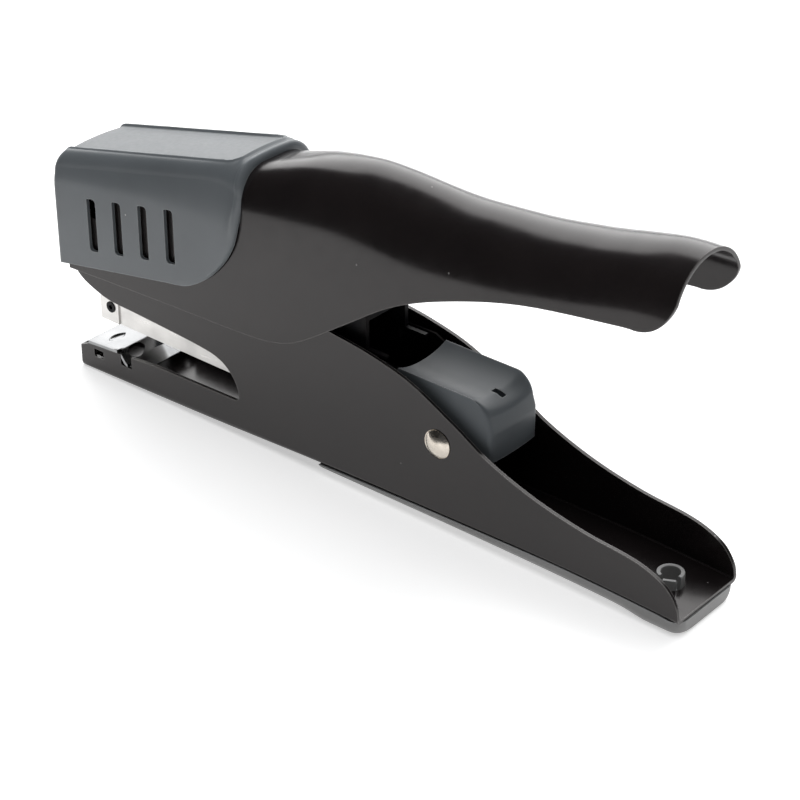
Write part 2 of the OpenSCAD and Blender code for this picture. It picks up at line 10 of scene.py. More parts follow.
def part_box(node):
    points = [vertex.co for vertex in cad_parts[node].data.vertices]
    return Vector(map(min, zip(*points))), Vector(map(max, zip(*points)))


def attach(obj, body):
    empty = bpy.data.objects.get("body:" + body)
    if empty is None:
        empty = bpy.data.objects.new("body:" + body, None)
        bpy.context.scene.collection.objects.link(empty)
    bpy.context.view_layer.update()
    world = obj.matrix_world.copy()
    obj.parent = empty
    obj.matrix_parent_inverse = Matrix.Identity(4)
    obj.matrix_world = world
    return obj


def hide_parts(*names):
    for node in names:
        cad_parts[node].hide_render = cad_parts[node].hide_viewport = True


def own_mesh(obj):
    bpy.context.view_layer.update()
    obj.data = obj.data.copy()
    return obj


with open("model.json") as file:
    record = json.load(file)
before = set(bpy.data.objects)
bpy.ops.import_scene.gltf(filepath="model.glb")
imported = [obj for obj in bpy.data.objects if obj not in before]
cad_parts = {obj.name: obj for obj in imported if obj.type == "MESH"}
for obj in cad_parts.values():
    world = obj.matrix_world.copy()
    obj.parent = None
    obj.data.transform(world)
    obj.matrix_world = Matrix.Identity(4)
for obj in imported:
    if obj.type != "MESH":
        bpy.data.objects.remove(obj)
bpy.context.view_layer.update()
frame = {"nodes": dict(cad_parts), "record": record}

# ---- Sizes, in millimetres. Side views are drawn with X = 0 at the jaw's tip -----------------

MM = 0.001
MID_X = 89
# Half-width of a cutter that goes right across the part
CUT = 20

FRAME_HW = 11.3
FRAME_T = 0.9
FRAME_BEND = 1.3
JAW_CORNER = 1
REAR_END = 183

HANDLE_HW = 12.5
HANDLE_T = 0.9
HANDLE_END = 177.4

CAP_HW = 13.85
CAP_T = 0.95
CAP_FRONT = -5.3
CAP_REAR = 58.7

PIN = (8, 48, 2.5)
REAR_RIVET = (116.5, 23.1, 2)
POST_R = 3.2
POST_X = (98, 173.2)
POST_PLAY = 0.1

FRAME_BOTTOM = [(0, 0), (44, 1.4), (82, 3.1), (127, 4.3), (156, 4.6), (REAR_END, 3.8)]
FRAME_BACK = [
    (REAR_END, 5.2), (182.3, 8.2), (179.6, 11.8), (175, 14.2), (169, 15.6), (157, 16.8), (143.5, 19.6),
    (131, 24), (120.8, 29.6), (108, 35.8), (96, 38.8), (84, 40.4), (60, 43.4), (40, 46), (22, 50.5),
]
THROAT = [
    (-2.5, 29), (0, 26.6), (4, 24.7), (10, 23.1), (20, 22.6), (40, 21.4), (48, 20), (52.4, 16.6), (54.1, 13),
]
THROAT_END = [(54.2, 11.4), (53.2, 10.4)]
JAW_TOP = [(25, 9.7), (19.2, 9.1), (0.5, 7.5), (-2.7, 6.1)]
TAB_NOTCH = [(12.4, 5.5), (16.4, 5.5), (16.4, 12), (12.4, 12)]
SIGHT_HOLE_X = (2.6, 6)
SIGHT_HOLE_Z = (4.6, 6.8)

HANDLE_TOP = [
    (-3, 57.1), (0, 59.1), (20, 64), (40, 68.6), (58, 72.8), (66, 75.3), (75, 78), (86, 80), (96, 80.2),
    (113, 79.4), (124, 79.9), (137, 81), (151, 83.2), (160, 85.1), (169, 86.8), (178, 87.2),
]
HANDLE_LOW = [
    (-3, 28.6), (30, 30), (57, 30.9), (68, 32.2), (76.4, 35.6), (90, 44.7), (104, 54), (119, 60.6),
    (139.4, 66.7), (163.4, 70.4), (169, 70.9), (172, 71.9), (174.2, 73.5), (175.9, 75.6), (177, 77.8),
    (177.5, 79.8),
]
# Shoulder of the handle's section: how far in it starts, and how far down
SHOULDER_IN = [(-3, 5), (45, 6), (62, 10), (84, 12.4), (181, 12.4)]
SHOULDER_DOWN = [
    (-3, 5), (45, 6), (62, 9.6), (75, 12.6), (92, 14.2), (106, 14.9), (129, 13.8), (145, 12.8), (181, 12.4),
]

CAP_LOW = [
    (-5.3, 30), (16, 33.9), (33, 37), (41, 38.6), (49.2, 44.2), (55.6, 52.6), (58.4, 63), (58.7, 70.3),
]
CAP_TOP = [(-5.3, 60.6), (60, 75.4)]
CAP_PANEL_HW = 8.8
CAP_PANEL_END = 54.5
CAP_PANEL_R = 2.6
CAP_PANEL_DEPTH = 0.45

# ---- Curves --------------------------------------------------------------------------------


def curve(points, steps=6):
    """Points of a smooth curve through all of points."""
    out = []
    for i in range(len(points) - 1):
        a, b, c, d = (points[min(max(k, 0), len(points) - 1)] for k in (i - 1, i, i + 1, i + 2))
        for k in range(steps):
            t = k / steps
            point = []
            for p, q, r, s in zip(a, b, c, d):
                square = 2 * p - 5 * q + 4 * r - s
                cube = 3 * q - p - 3 * r + s
                point.append(0.5 * (2 * q + (r - p) * t + square * t**2 + cube * t**3))
            out.append(tuple(point))
    return out + [tuple(points[-1])]


def between(low, value, high):
    """value, held between low and high."""
    return max(low, min(high, value))


def at(table, x):
    """Value of a table of (x, value) at x, held level outside it."""
    if x <= table[0][0]:
        return table[0][1]
    for (x0, v0), (x1, v1) in zip(table, table[1:]):
        if x <= x1:
            return v0 + (v1 - v0) * (x - x0) / max(x1 - x0, 1e-9)
    return table[-1][1]


def arc(cx, cz, r, start, end, steps=10):
    """Points of an arc, with its angles in degrees."""
    angles = [math.radians(start + (end - start) * i / steps) for i in range(steps + 1)]
    return [(cx + r * math.cos(a), cz + r * math.sin(a)) for a in angles]


def spread(start, end, count):
    """count values from start to end, evenly spaced."""
    return [start + (end - start) * i / (count - 1) for i in range(count)]


def resample(points, count):
    """count points at even distances along a polyline."""
    lengths = [0]
    for p, q in zip(points, points[1:]):
        lengths.append(lengths[-1] + math.dist(p, q))
    out = []
    k = 0
    for s in spread(0, lengths[-1], count):
        while k < len(points) - 2 and lengths[k + 1] < s:
            k += 1
        t = (s - lengths[k]) / max(lengths[k + 1] - lengths[k], 1e-9)
        out.append(tuple(a + (b - a) * t for a, b in zip(points[k], points[k + 1])))
    return out


def rounded(points, radii, steps=5):
    """A closed outline whose corners are rounded to radii."""
    out = []
    count = len(points)
    for i, (p, r) in enumerate(zip(points, radii)):
        p = Vector(p)
        before = Vector(points[i - 1]) - p
        after = Vector(points[(i + 1) % count]) - p
        if r <= 0:
            out.append(tuple(p))
            continue
        half = before.angle(after) / 2
        reach = min(r / math.tan(half), 0.49 * min(before.length, after.length))
        a = p + before.normalized() * reach
        b = p + after.normalized() * reach
        for k in range(steps + 1):
            t = k / steps
            out.append(tuple((1 - t) ** 2 * a + 2 * t * (1 - t) * p + t * t * b))
    return out


# ---- Making pieces -------------------------------------------------------------------------


def new_object(name, verts, faces):
    """An object from points in millimetres, drawn from the jaw's tip."""
    mesh = bpy.data.meshes.new(name)
    mesh.from_pydata([((x - MID_X) * MM, y * MM, z * MM) for x, y, z in verts], [], faces)
    obj = bpy.data.objects.new(name, mesh)
    bpy.context.scene.collection.objects.link(obj)
    return obj


def face_outwards(obj):
    """Turns the faces of a closed mesh outwards."""
    bm = bmesh.new()
    bm.from_mesh(obj.data)
    bmesh.ops.recalc_face_normals(bm, faces=bm.faces)
    bm.to_mesh(obj.data)
    bm.free()
    return obj


def grid(name, rows, closed=False):
    """A sheet through equal rows of points. closed joins each row's end to its start and caps the ends."""
    width = len(rows[0])
    verts = [p for row in rows for p in row]
    span = width if closed else width - 1
    faces = []
    for i in range(len(rows) - 1):
        for j in range(span):
            k = (j + 1) % width
            faces.append((i * width + j, (i + 1) * width + j, (i + 1) * width + k, i * width + k))
    if closed:
        last = (len(rows) - 1) * width
        faces.append(tuple(range(width)))
        faces.append(tuple(last + j for j in range(width)))
    obj = new_object(name, verts, faces)
    return face_outwards(obj) if closed else obj


def prism(name, outline, y0, y1):
    """A side view drawn out across the part."""
    return grid(name, [[(x, y, z) for x, z in outline] for y in (y0, y1)], closed=True)


def lathe(name, profile, centre, axis, steps=48):
    """A profile of (radius, height) turned about an axis through centre. A radius of 0 closes an end."""
    turn = Vector((0, 0, 1)).rotation_difference(Vector(axis)).to_matrix()
    verts = []
    faces = []
    for i in range(steps):
        a = 2 * math.pi * i / steps
        for r, h in profile:
            verts.append(tuple(turn @ Vector((r * math.cos(a), r * math.sin(a), h)) + Vector(centre)))
    width = len(profile)
    for i in range(steps):
        k = (i + 1) % steps
        for j in range(width - 1):
            faces.append((i * width + j, k * width + j, k * width + j + 1, i * width + j + 1))
    obj = new_object(name, verts, faces)
    weld(obj)
    return face_outwards(obj)


def rod(r, centre, axis, start, end, steps=48):
    """A cylinder of radius r along axis, from start to end of centre."""
    return lathe("rod", [(0, start), (r, start), (r, end), (0, end)], centre, axis, steps)


def block(x0, x1, y0, y1, z0, z1):
    """A box between two corners."""
    return prism("block", [(x0, z0), (x1, z0), (x1, z1), (x0, z1)], y0, y1)


def mirrored_prism(side, outline, z0, z1):
    """A plan view drawn up from z0 to z1, on one side of the part."""
    return grid("plan", [[(x, side * y, z) for x, y in outline] for z in (z0, z1)], closed=True)


def weld(obj, gap=0.002):
    """Joins points closer than gap millimetres and drops what has no area."""
    bm = bmesh.new()
    bm.from_mesh(obj.data)
    bmesh.ops.remove_doubles(bm, verts=bm.verts, dist=gap * MM)
    bmesh.ops.dissolve_degenerate(bm, edges=bm.edges, dist=gap * MM)
    bm.to_mesh(obj.data)
    bm.free()


def wire(name, path, r, sides=10):
    """A round wire along a path."""
    points = [Vector(p) for p in path]
    rows = []
    normal = None
    for i, p in enumerate(points):
        along = (points[min(i + 1, len(points) - 1)] - points[max(i - 1, 0)]).normalized()
        if normal is None:
            normal = along.orthogonal().normalized()
        normal = (normal - along * normal.dot(along)).normalized()
        side = along.cross(normal)
        rows.append([
            tuple(p + r * (math.cos(a) * normal + math.sin(a) * side))
            for a in (2 * math.pi * k / sides for k in range(sides))
        ])
    return grid(name, rows, closed=True)


def bake(obj):
    """Applies the object's modifiers to its mesh."""
    graph = bpy.context.evaluated_depsgraph_get()
    mesh = bpy.data.meshes.new_from_object(obj.evaluated_get(graph))
    obj.modifiers.clear()
    old = obj.data
    obj.data = mesh
    bpy.data.meshes.remove(old)


def combine(obj, tool, how="DIFFERENCE"):
    """Cuts tool from obj, or joins or intersects them, and deletes tool."""
    mod = obj.modifiers.new("combine", "BOOLEAN")
    mod.operation = how
    mod.solver = "EXACT"
    mod.object = tool
    bake(obj)
    bpy.data.objects.remove(tool)


def merge_flats(obj):
    """Joins neighbouring faces that lie in one plane."""
    bm = bmesh.new()
    bm.from_mesh(obj.data)
    bmesh.ops.dissolve_limit(bm, angle_limit=0.004, verts=bm.verts, edges=bm.edges)
    bm.to_mesh(obj.data)
    bm.free()


def thicken(obj, thickness):
    """Makes a sheet into a plate, on the inner side of its faces."""
    mod = obj.modifiers.new("sheet", "SOLIDIFY")
    mod.thickness = thickness * MM
    mod.offset = -1
    mod.use_even_offset = True
    bake(obj)


def soften(obj, width, segments=2, angle=35):
    """Rounds the edges sharper than angle, and shades the mesh smooth with flat faces kept flat."""
    mod = obj.modifiers.new("edges", "BEVEL")
    mod.width = width * MM
    mod.segments = segments
    mod.limit_method = "ANGLE"
    mod.angle_limit = math.radians(angle)
    mod.use_clamp_overlap = True
    mod.miter_outer = "MITER_ARC"
    bake(obj)
    weld(obj, 0.001)
    shade(obj)


def shade(obj, angle=40):
    """Shades smooth with edges over angle kept sharp, and lets the large faces set the normals."""
    obj.data.shade_smooth()
    mod = obj.modifiers.new("normals", "WEIGHTED_NORMAL")
    mod.keep_sharp = True
    mod.weight = 90
    obj.data.set_sharp_from_angle(angle=math.radians(angle))


def keep(obj, body, material, slot, *nodes):
    """Hands a finished piece over: its material and body, and hides the CAD nodes that it stands for. slot
    is not used.
    """
    obj.data.materials.clear()
    obj.data.materials.append(material)
    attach(obj, body)
    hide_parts(*nodes)


# ---- Materials -----------------------------------------------------------------------------


def surface(name, base, metallic=0.0, roughness=0.4, **inputs):
    """A material with a Principled shader whose constant values are set on its own sockets."""
    mat = bpy.data.materials.new(name)
    mat.use_nodes = True
    shader = mat.node_tree.nodes["Principled BSDF"]
    shader.inputs["Base Color"].default_value = (*base, 1)
    shader.inputs["Metallic"].default_value = metallic
    shader.inputs["Roughness"].default_value = roughness
    for key, value in inputs.items():
        shader.inputs[key.replace("_", " ")].default_value = value
    return mat


def node(mat, kind, **values):
    """Adds a node. A value sets an input where the node has one of that name, or else a property."""
    n = mat.node_tree.nodes.new(kind)
    for key, value in values.items():
        label = key.replace("_", " ")
        if label in n.inputs:
            n.inputs[label].default_value = value
        else:
            setattr(n, key, value)
    return n


def link(mat, a, out, b, into):
    """Joins output out of node a to input into of node b."""
    mat.node_tree.links.new(a.outputs[out], b.inputs[into])


def place(mat, stretch=(1, 1, 1)):
    """Coordinates in the object's own space, stretched."""
    coords = node(mat, "ShaderNodeTexCoord")
    mapping = node(mat, "ShaderNodeMapping", Scale=stretch)
    link(mat, coords, "Object", mapping, "Vector")
    return mapping


def noise(mat, scale, detail=3.0, stretch=(1, 1, 1)):
    """A noise texture in the object's own space."""
    tex = node(mat, "ShaderNodeTexNoise", Scale=scale, Detail=detail)
    link(mat, place(mat, stretch), "Vector", tex, "Vector")
    return tex


def vary_color(mat, tex, out, stops):
    """Base colour from a texture through a ramp of (position, colour) stops."""
    ramp = node(mat, "ShaderNodeValToRGB")
    elements = ramp.color_ramp.elements
    while len(elements) < len(stops):
        elements.new(0.5)
    for element, (position, color) in zip(elements, stops):
        element.position = position
        element.color = (*color, 1)
    link(mat, tex, out, ramp, "Fac")
    link(mat, ramp, "Color", mat.node_tree.nodes["Principled BSDF"], "Base Color")
    return ramp


def vary_roughness(mat, tex, low, high):
    """Roughness from a noise texture's middle range."""
    ranged = node(mat, "ShaderNodeMapRange", From_Min=0.3, From_Max=0.7, To_Min=low, To_Max=high)
    link(mat, tex, "Fac", ranged, "Value")
    link(mat, ranged, "Result", mat.node_tree.nodes["Principled BSDF"], "Roughness")


def roughen(mat, layers):
    """Bump from (texture, output, strength, depth in millimetres) layers, one upon the other."""
    last = None
    for tex, out, strength, depth in layers:
        bump = node(mat, "ShaderNodeBump", Strength=strength, Distance=depth * MM)
        link(mat, tex, out, bump, "Height")
        if last:
            link(mat, last, "Normal", bump, "Normal")
        last = bump
    link(mat, last, "Normal", mat.node_tree.nodes["Principled BSDF"], "Normal")


DUST_SIZE = 0.085
# Reach and start of the paler edges, which are partly wear and partly painted highlight
WEAR_HIGHLIGHT_REACH = 0.5
WEAR_HIGHLIGHT_START = 0.97
# The colour inputs of a mix node, which share their names with its other kinds of input
MIX_A, MIX_B, MIX_COLOR = 6, 7, 2


def add_dust(mat, ramp, scale, share, color):
    """Mixes sparse pale specks into the base colour."""
    cells = node(mat, "ShaderNodeTexVoronoi", Scale=scale, Randomness=1.0)
    link(mat, place(mat), "Vector", cells, "Vector")
    near = node(mat, "ShaderNodeMath", operation="LESS_THAN")
    near.inputs[1].default_value = DUST_SIZE
    link(mat, cells, "Distance", near, 0)
    split = node(mat, "ShaderNodeSeparateColor")
    link(mat, cells, "Color", split, "Color")
    chosen = node(mat, "ShaderNodeMath", operation="LESS_THAN")
    chosen.inputs[1].default_value = share
    link(mat, split, "Red", chosen, 0)
    both = node(mat, "ShaderNodeMath", operation="MULTIPLY")
    link(mat, near, 0, both, 0)
    link(mat, chosen, 0, both, 1)
    mix = node(mat, "ShaderNodeMix", data_type="RGBA")
    mix.inputs[MIX_B].default_value = (*color, 1)
    link(mat, both, 0, mix, 0)
    link(mat, ramp, "Color", mix, MIX_A)
    link(mat, mix, MIX_COLOR, mat.node_tree.nodes["Principled BSDF"], "Base Color")


def wear_and_highlight_edges(mat, color, low):
    """Mixes a paler tone into the base colour along edges and bends: partly wear where the coat is thin,
    partly a painted highlight of the light lines that edges catch.

    An edge is where the normal leaves the normal averaged around it, fully so at a cosine of low.
    """
    shader = mat.node_tree.nodes["Principled BSDF"]
    before = shader.inputs["Base Color"].links[0].from_socket
    geometry = node(mat, "ShaderNodeNewGeometry")
    eased = node(mat, "ShaderNodeBevel", Radius=WEAR_HIGHLIGHT_REACH * MM, samples=4)
    dot = node(mat, "ShaderNodeVectorMath", operation="DOT_PRODUCT")
    link(mat, geometry, "Normal", dot, 0)
    link(mat, eased, "Normal", dot, 1)
    sharp = node(mat, "ShaderNodeMapRange", From_Min=WEAR_HIGHLIGHT_START, From_Max=low)
    link(mat, dot, "Value", sharp, "Value")
    mix = node(mat, "ShaderNodeMix", data_type="RGBA")
    mix.inputs[MIX_B].default_value = (*color, 1)
    link(mat, sharp, "Result", mix, 0)
    mat.node_tree.links.new(before, mix.inputs[MIX_A])
    link(mat, mix, MIX_COLOR, shader, "Base Color")


def black_paint():
    """Satin gloss paint on steel: a faint orange peel, a warm drift in tone, dust and paler edges."""
    base = (0.009, 0.008, 0.008)
    # The warm specular tint paints a warm cast into the paint's reflections, standing in for warm light
    warm = (1, 0.965, 0.955, 1)
    mat = surface("black_paint", base, roughness=0.22, Specular_IOR_Level=0.43, Specular_Tint=warm)
    stops = [(0.3, (0.0085, 0.007, 0.0072)), (0.7, (0.012, 0.0098, 0.0098))]
    ramp = vary_color(mat, noise(mat, 70, 4), "Fac", stops)
    add_dust(mat, ramp, 420, 0.02, (0.22, 0.215, 0.21))
    # Paler edges and bends: partly worn paint, partly a painted highlight
    wear_and_highlight_edges(mat, (0.14, 0.135, 0.13), 0.8)
    vary_roughness(mat, noise(mat, 260, 5), 0.19, 0.25)
    roughen(mat, [(noise(mat, 520, 2), "Fac", 0.06, 0.02), (noise(mat, 5200, 2), "Fac", 0.06, 0.004)])
    return mat


def grey_plastic(name, base, gloss):
    """Grey satin moulding with a fine spark-eroded grain. gloss is its specular level."""
    mat = surface(name, base, roughness=0.4, Specular_IOR_Level=gloss)
    stops = [(0.3, [0.92 * c for c in base]), (0.7, [1.06 * c for c in base])]
    ramp = vary_color(mat, noise(mat, 55, 4), "Fac", stops)
    add_dust(mat, ramp, 380, 0.025, (0.5, 0.49, 0.47))
    # Paler edges and bends on the moulding: partly wear, partly a painted highlight
    wear_and_highlight_edges(mat, (0.24, 0.25, 0.255), 0.75)
    vary_roughness(mat, noise(mat, 900, 4), 0.34, 0.4)
    roughen(mat, [(noise(mat, 3600, 3), "Fac", 0.16, 0.012), (noise(mat, 300, 2), "Fac", 0.08, 0.02)])
    return mat


def plated(name, bright, dull, rough, brushed=(1, 1, 1), tint_scale=120, bump=0.06):
    """Plated or bare metal: a cloudy tone and fine lines along the way it was rolled or drawn."""
    mat = surface(name, bright, metallic=1.0, roughness=rough[0])
    vary_color(mat, noise(mat, tint_scale, 5), "Fac", [(0.3, dull), (0.68, bright)])
    lines = noise(mat, 900, 3, brushed)
    vary_roughness(mat, lines, *rough)
    roughen(mat, [(lines, "Fac", bump, 0.01), (noise(mat, 420, 4), "Fac", bump, 0.02)])
    return mat


def dark_oxide():
    """Black oxide: almost matt, browner where it is thin."""
    mat = surface("dark_oxide", (0.012, 0.012, 0.013), roughness=0.5, Specular_IOR_Level=0.12)
    stops = [(0.35, (0.009, 0.009, 0.011)), (0.72, (0.02, 0.018, 0.017))]
    vary_color(mat, noise(mat, 160, 5), "Fac", stops)
    vary_roughness(mat, noise(mat, 700, 4), 0.36, 0.55)
    roughen(mat, [(noise(mat, 2400, 3), "Fac", 0.2, 0.01)])
    return mat


PAINT = black_paint()
PLASTIC = grey_plastic("grey_plastic", (0.109, 0.121, 0.13), 0.5)
THUMB_PLASTIC = grey_plastic("thumb_plastic", (0.096, 0.106, 0.114), 0.16)
# The cover's grey is painted nearly twice as light as the cap's, standing in for light bounced up from the
# floor
COVER_PLASTIC_LIT = grey_plastic("cover_plastic_lit", (0.2, 0.198, 0.196), 0.5)
CHROME = plated("chrome_plate", (0.3, 0.303, 0.306), (0.23, 0.233, 0.237), (0.1, 0.2), (1, 6, 1), bump=0.16)
NICKEL = plated("nickel_plate", (0.74, 0.68, 0.6), (0.6, 0.54, 0.47), (0.2, 0.3), tint_scale=400)
ZINC = plated("zinc_plate", (0.7, 0.685, 0.665), (0.54, 0.53, 0.515), (0.26, 0.38), (0.1, 1, 1), bump=0.12)
STEEL = plated("drawn_steel", (0.62, 0.62, 0.62), (0.48, 0.48, 0.49), (0.2, 0.34), (0.08, 1, 1))
SPRING = plated("spring_steel", (0.58, 0.59, 0.62), (0.42, 0.43, 0.46), (0.16, 0.3), tint_scale=300)
STAPLES = plated("staple_wire", (0.8, 0.8, 0.79), (0.6, 0.6, 0.6), (0.2, 0.34), (1, 0.08, 1), tint_scale=260)
OXIDE = dark_oxide()
MATERIALS = {
    "black_steel": PAINT, "grey_plastic": PLASTIC, "chrome": CHROME, "nickel": NICKEL, "bare_steel": STEEL,
    "spring_steel": SPRING, "dark_steel": OXIDE, "zinc_plate": ZINC, "staple_wire": STAPLES,
}

# ---- Upper handle --------------------------------------------------------------------------

TOP_LINE = curve(HANDLE_TOP)
LOW_LINE = curve(HANDLE_LOW)


def whole_row(x, half):
    """A full section from half of it, over the crown, at one x or at each point's own x."""
    left = [(p[2] if len(p) > 2 else x, -p[0], p[1]) for p in half]
    right = [(p[2] if len(p) > 2 else x, p[0], p[1]) for p in half[:-1]]
    return left + right[::-1]


def handle_half(x):
    """Half of the handle's section: flat side, elliptic shoulder and flat crown."""
    top = at(TOP_LINE, x)
    low = at(LOW_LINE, x)
    inward = at(SHOULDER_IN, x)
    down = at(SHOULDER_DOWN, x)
    centre = top - down
    start = 0
    half = []
    if low < centre:
        half += [(HANDLE_HW, z) for z in spread(low, centre, 10)[:-1]]
    else:
        start = math.asin((low - centre) / down)
    for a in spread(start, math.pi / 2, 40):
        half.append((HANDLE_HW - inward + inward * math.cos(a), centre + down * math.sin(a)))
    half.append((0, top))
    return resample(half, 34)


def handle_shell():
    """Pressed shell of the upper handle, open below and behind."""
    xs = spread(-3, 160, 110) + spread(160.6, 171, 16)[:-1]
    xs += spread(171, 176, 16)[:-1] + spread(176, HANDLE_END, 9)
    obj = grid("upper_handle", [whole_row(x, handle_half(x)) for x in xs])
    thicken(obj, HANDLE_T)
    soften(obj, 0.3, 3, 50)
    keep(obj, "handle", PAINT, "black_steel", "handle_shell")


# ---- Head cap ------------------------------------------------------------------------------

CAP_LOW_LINE = curve(CAP_LOW)
# Where the sides begin to lean in, below the roof, and the radius of the roof's edge
CAP_LEAN = [(-5.3, 8), (10, 9), (25, 10.5), (40, 13), (58.7, 17)]
CAP_LEAN_IN = [(-5.3, 0.5), (15, 0.9), (58.7, 1.3)]
CAP_EDGE = [(-5.3, 4), (20, 4.1), (46, 4.1), (52, 4.7), (58.7, 7.4)]
CAP_ARCH = 0.8
# Radius with which the rear rim rolls in, by height, and the rim's line
CAP_RIM_R = [(38, 0.2), (46, 0.8), (60, 1), (70, 1.2)]
CAP_RIM = [p for p in CAP_LOW_LINE if p[0] > 36] + [(CAP_REAR, 95)]
# The rim's bead and the groove before it: (distance from the rim, height)
CAP_BEAD = [(0, 0), (0.5, 0.3), (1, 0.42), (1.5, 0.3), (2, 0), (2.4, -0.2), (2.9, -0.22), (3.6, 0)]
# The bead stands in full from BEAD_FADE above BEAD_Z
BEAD_Z = 56
BEAD_FADE = 8
# Half-width at which CAP_ARCH is measured, and where the roof starts to slope down behind and how far
CAP_ARCH_HW = 11
CAP_SLOPE_X = 53.5
CAP_SLOPE = 1.3


def roll(distance, r):
    """How far a quarter-round of radius r stands back at a distance from its edge."""
    inside = between(0, distance, r)
    return r - math.sqrt(max(0, r * r - (r - inside) ** 2))


def to_polyline(x, z, points):
    """Distance from a point to a polyline."""
    best = 1e9
    for (ax, az), (bx, bz) in zip(points, points[1:]):
        dx, dz = bx - ax, bz - az
        t = between(0, ((x - ax) * dx + (z - az) * dz) / (dx * dx + dz * dz), 1)
        best = min(best, math.hypot(x - ax - t * dx, z - az - t * dz))
    return best


def panel_step(x, y):
    """Height of the panel's surface against the roof: a fine raised line round it, then the sunk field."""
    qx = x - CAP_PANEL_END + CAP_PANEL_R
    qy = abs(y) - CAP_PANEL_HW + CAP_PANEL_R
    inside = CAP_PANEL_R - (math.hypot(qx, qy) if qx > 0 and qy > 0 else max(qx, qy))
    return at([(-1, 0), (-0.65, 0.26), (-0.3, 0.26), (0.15, -0.25), (0.5, -CAP_PANEL_DEPTH)], inside)


def cap_half(x):
    """Half of the cap's plain section, from its lower edge up to the middle of the roof."""
    sloped = between(0, (x - CAP_SLOPE_X) / (CAP_REAR - CAP_SLOPE_X), 1)
    roof = at(CAP_TOP, x) - roll(x - CAP_FRONT, 3) - CAP_SLOPE * sloped * sloped
    half_w = CAP_HW - roll(x - CAP_FRONT, 1)
    edge = at(CAP_EDGE, x)
    lean = at(CAP_LEAN_IN, x)
    corner_y = half_w - lean - edge
    shoulder = roof - CAP_ARCH * (corner_y / CAP_ARCH_HW) ** 2 - edge
    low = min(at(CAP_LOW_LINE, x), shoulder - 1)
    start = roof - at(CAP_LEAN, x)
    side = []
    for z in spread(low, shoulder, 30):
        share = max(0, (z - start) / max(shoulder - start, 0.1))
        side.append((half_w - lean * share**2, z))
    slope = math.atan2(2 * lean, max(shoulder - start, 0.1)) * 0.5
    for a in spread(slope, math.pi / 2, 14)[1:]:
        side.append((corner_y + edge * math.cos(a), shoulder + edge * math.sin(a)))
    turn = len(side) - 14
    arch = [(y, roof - CAP_ARCH * (y / CAP_ARCH_HW) ** 2) for y in spread(corner_y, 0, 44)[1:]]
    return resample(side[:turn + 1], 34)[:-1] + resample(side[turn:], 28) + arch


def cap_row(x, inner=False):
    """A section of the cap, or of the hollow inside it, with its rim, bead and panel."""
    half = cap_half(x)
    out = []
    for i, (y, z) in enumerate(half):
        before, after = half[max(i - 1, 0)], half[min(i + 1, len(half) - 1)]
        normal = Vector((after[1] - before[1], before[0] - after[0])).normalized()
        rim = to_polyline(x, z, CAP_RIM)
        r = at(CAP_RIM_R, z)
        rise = between(0, (z - BEAD_Z) / BEAD_FADE, 1)
        if inner:
            depth = CAP_T + max(0, r + 0.1 - CAP_T) * between(0, (r + 1.5 - rim) / 1.5, 1)
            if i == 0:
                z -= 20
        else:
            depth = roll(rim, r) - at(CAP_BEAD, rim) * rise
            if normal.y > 0.8 and x < 56:
                depth -= panel_step(x, y)
        shear = 0.8 * max(0, (z - 66) / 8) * max(0, (x - 40) / 18)
        out.append((y - normal.x * depth, z - normal.y * depth, x - shear))
    out[-1] = (0, out[-1][1], out[-1][2])
    return whole_row(x, out)


VENTS = 4
VENT_X = 6.8
VENT_Z = 35.5
VENT_PITCH = 9.05
VENT_LENGTH = 14.3
VENT_W = 3.1
VENT_SLANT = 0.205
VENT_CORNERS = (1.2, 0.45, 1.2, 0.45)


def vent(x, z):
    """Cutter for a slanted vent slot with two full corners and two tight ones."""
    corner = [(x, z), (x + VENT_W, z), (x + VENT_W, z + VENT_LENGTH), (x, z + VENT_LENGTH)]
    outline = rounded([(px, pz + VENT_SLANT * px) for px, pz in corner], VENT_CORNERS)
    return prism("vent", outline, -CUT, CUT)


def head_cap():
    """Moulded cap with a sunk panel, a rolled rear rim with a bead, and vent slots."""
    xs = [CAP_FRONT + t for t in (0, 0.08, 0.25, 0.5, 0.9, 1.4, 2, 2.6, 3.2)] + spread(-1, 49, 44)
    xs += spread(49.8, CAP_REAR - 2.6, 22) + spread(CAP_REAR - 2.4, CAP_REAR, 15)
    obj = grid("cap", [cap_row(x) for x in xs], closed=True)
    xs = [CAP_FRONT + t for t in (CAP_T, 1.2, 1.6, 2.2, 3)]
    xs += spread(0, 52, 30) + spread(53, CAP_REAR + 0.6, 16)
    combine(obj, grid("hollow", [cap_row(x, inner=True) for x in xs], closed=True))
    for i in range(VENTS):
        combine(obj, vent(VENT_X + VENT_PITCH * i, VENT_Z))
    soften(obj, 0.28, 3, 42)
    keep(obj, "handle", PLASTIC, "grey_plastic", "head_cap")


# ---- Frame ---------------------------------------------------------------------------------

BOTTOM_LINE = curve(FRAME_BOTTOM)


def plan_half(x, half_w, front, corner):
    """Half-width in plan at x of a strip whose front corners are rounded."""
    inside = x - front
    if inside >= corner:
        return half_w
    return half_w - corner + math.sqrt(max(0, corner**2 - (corner - inside) ** 2))


TROUGH_TOP = 80


def trough(name, inset, front, end, bend, corner):
    """A long block with rounded lower edges that follows the frame's underside."""
    half_w = FRAME_HW - inset
    near = [front + corner * (1 - math.cos(a)) for a in spread(0, math.pi / 2, 9)]
    rows = []
    for x in near + spread(front + corner + 1.5, end, 90):
        w = plan_half(x, half_w, front, corner) if x > front else half_w - corner
        base = at(BOTTOM_LINE, x) + inset
        lower = [(w - bend + r, z) for r, z in arc(0, base + bend, bend, 0, -90, 8)]
        half = [(w, TROUGH_TOP)] + lower
        rows.append([(x, y, z) for y, z in half] + [(x, -y, z) for y, z in half[::-1]])
    return grid(name, rows, closed=True)


HEAD_R = 7
